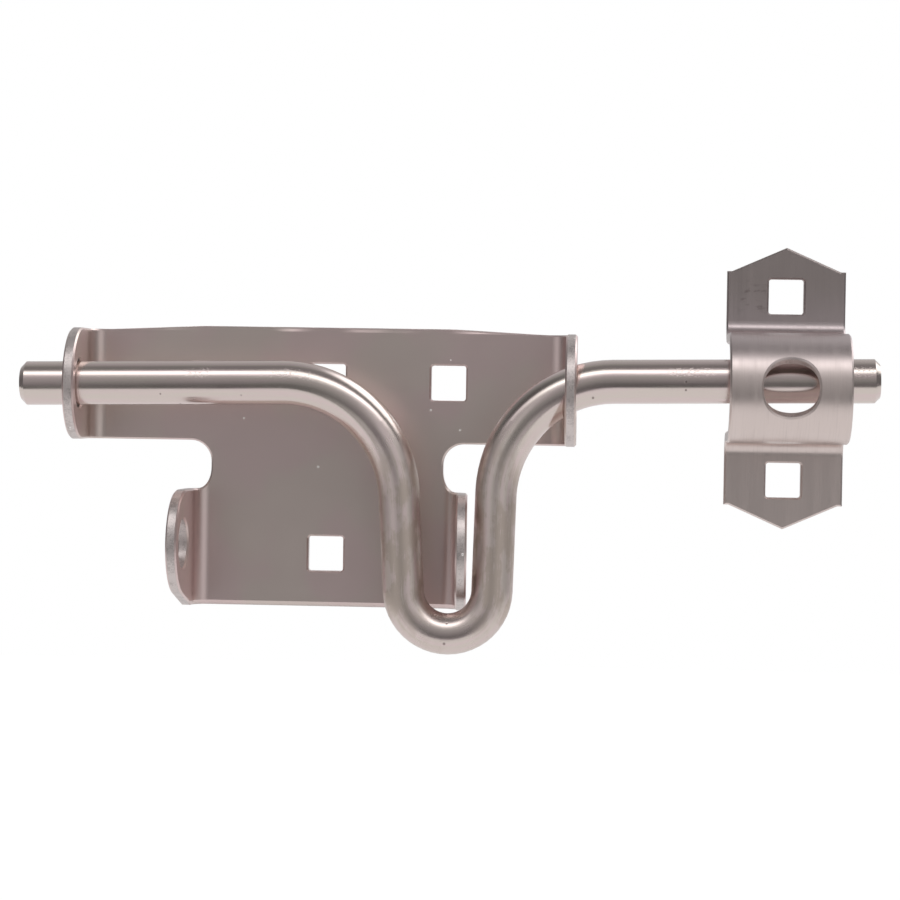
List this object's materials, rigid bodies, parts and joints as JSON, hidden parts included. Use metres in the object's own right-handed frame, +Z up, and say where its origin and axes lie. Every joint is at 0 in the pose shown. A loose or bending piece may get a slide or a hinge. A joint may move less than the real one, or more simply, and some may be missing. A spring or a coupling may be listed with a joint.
{
  "type": "slide-action gate latch",
  "caption": "Stainless gate latch: a bent round bolt with a hanging U handle slides and turns in a folded mounting plate and shoots into an arched keeper.",
  "frame": {"origin": "centre of the mounting plate's back face, which lies against the gate", "axes": "+X along the bolt towards the keeper, +Y into the gate, +Z up, as fixed on a gate"},
  "size_m": [0.2477, 0.0365, 0.1197],
  "materials": {
    "plate_steel": "satin mill finish, sheared edges",
    "rod_steel": "bright drawn bar with fine scuffs",
    "keeper_steel": "satin, brushed across the strap"
  },
  "bodies": {
    "base": {"mounting_plate": "plate_steel", "keeper": "keeper_steel"},
    "bolt": {"slide_bolt": "rod_steel"}
  },
  "joints": [
    {"name": "bolt_turn", "type": "hinge", "parent": "base", "child": "bolt", "pos_m": [0, -0.0222, 0.02369], "axis": [-1, 0, 0], "range_deg": [-4, 190]}
  ]
}
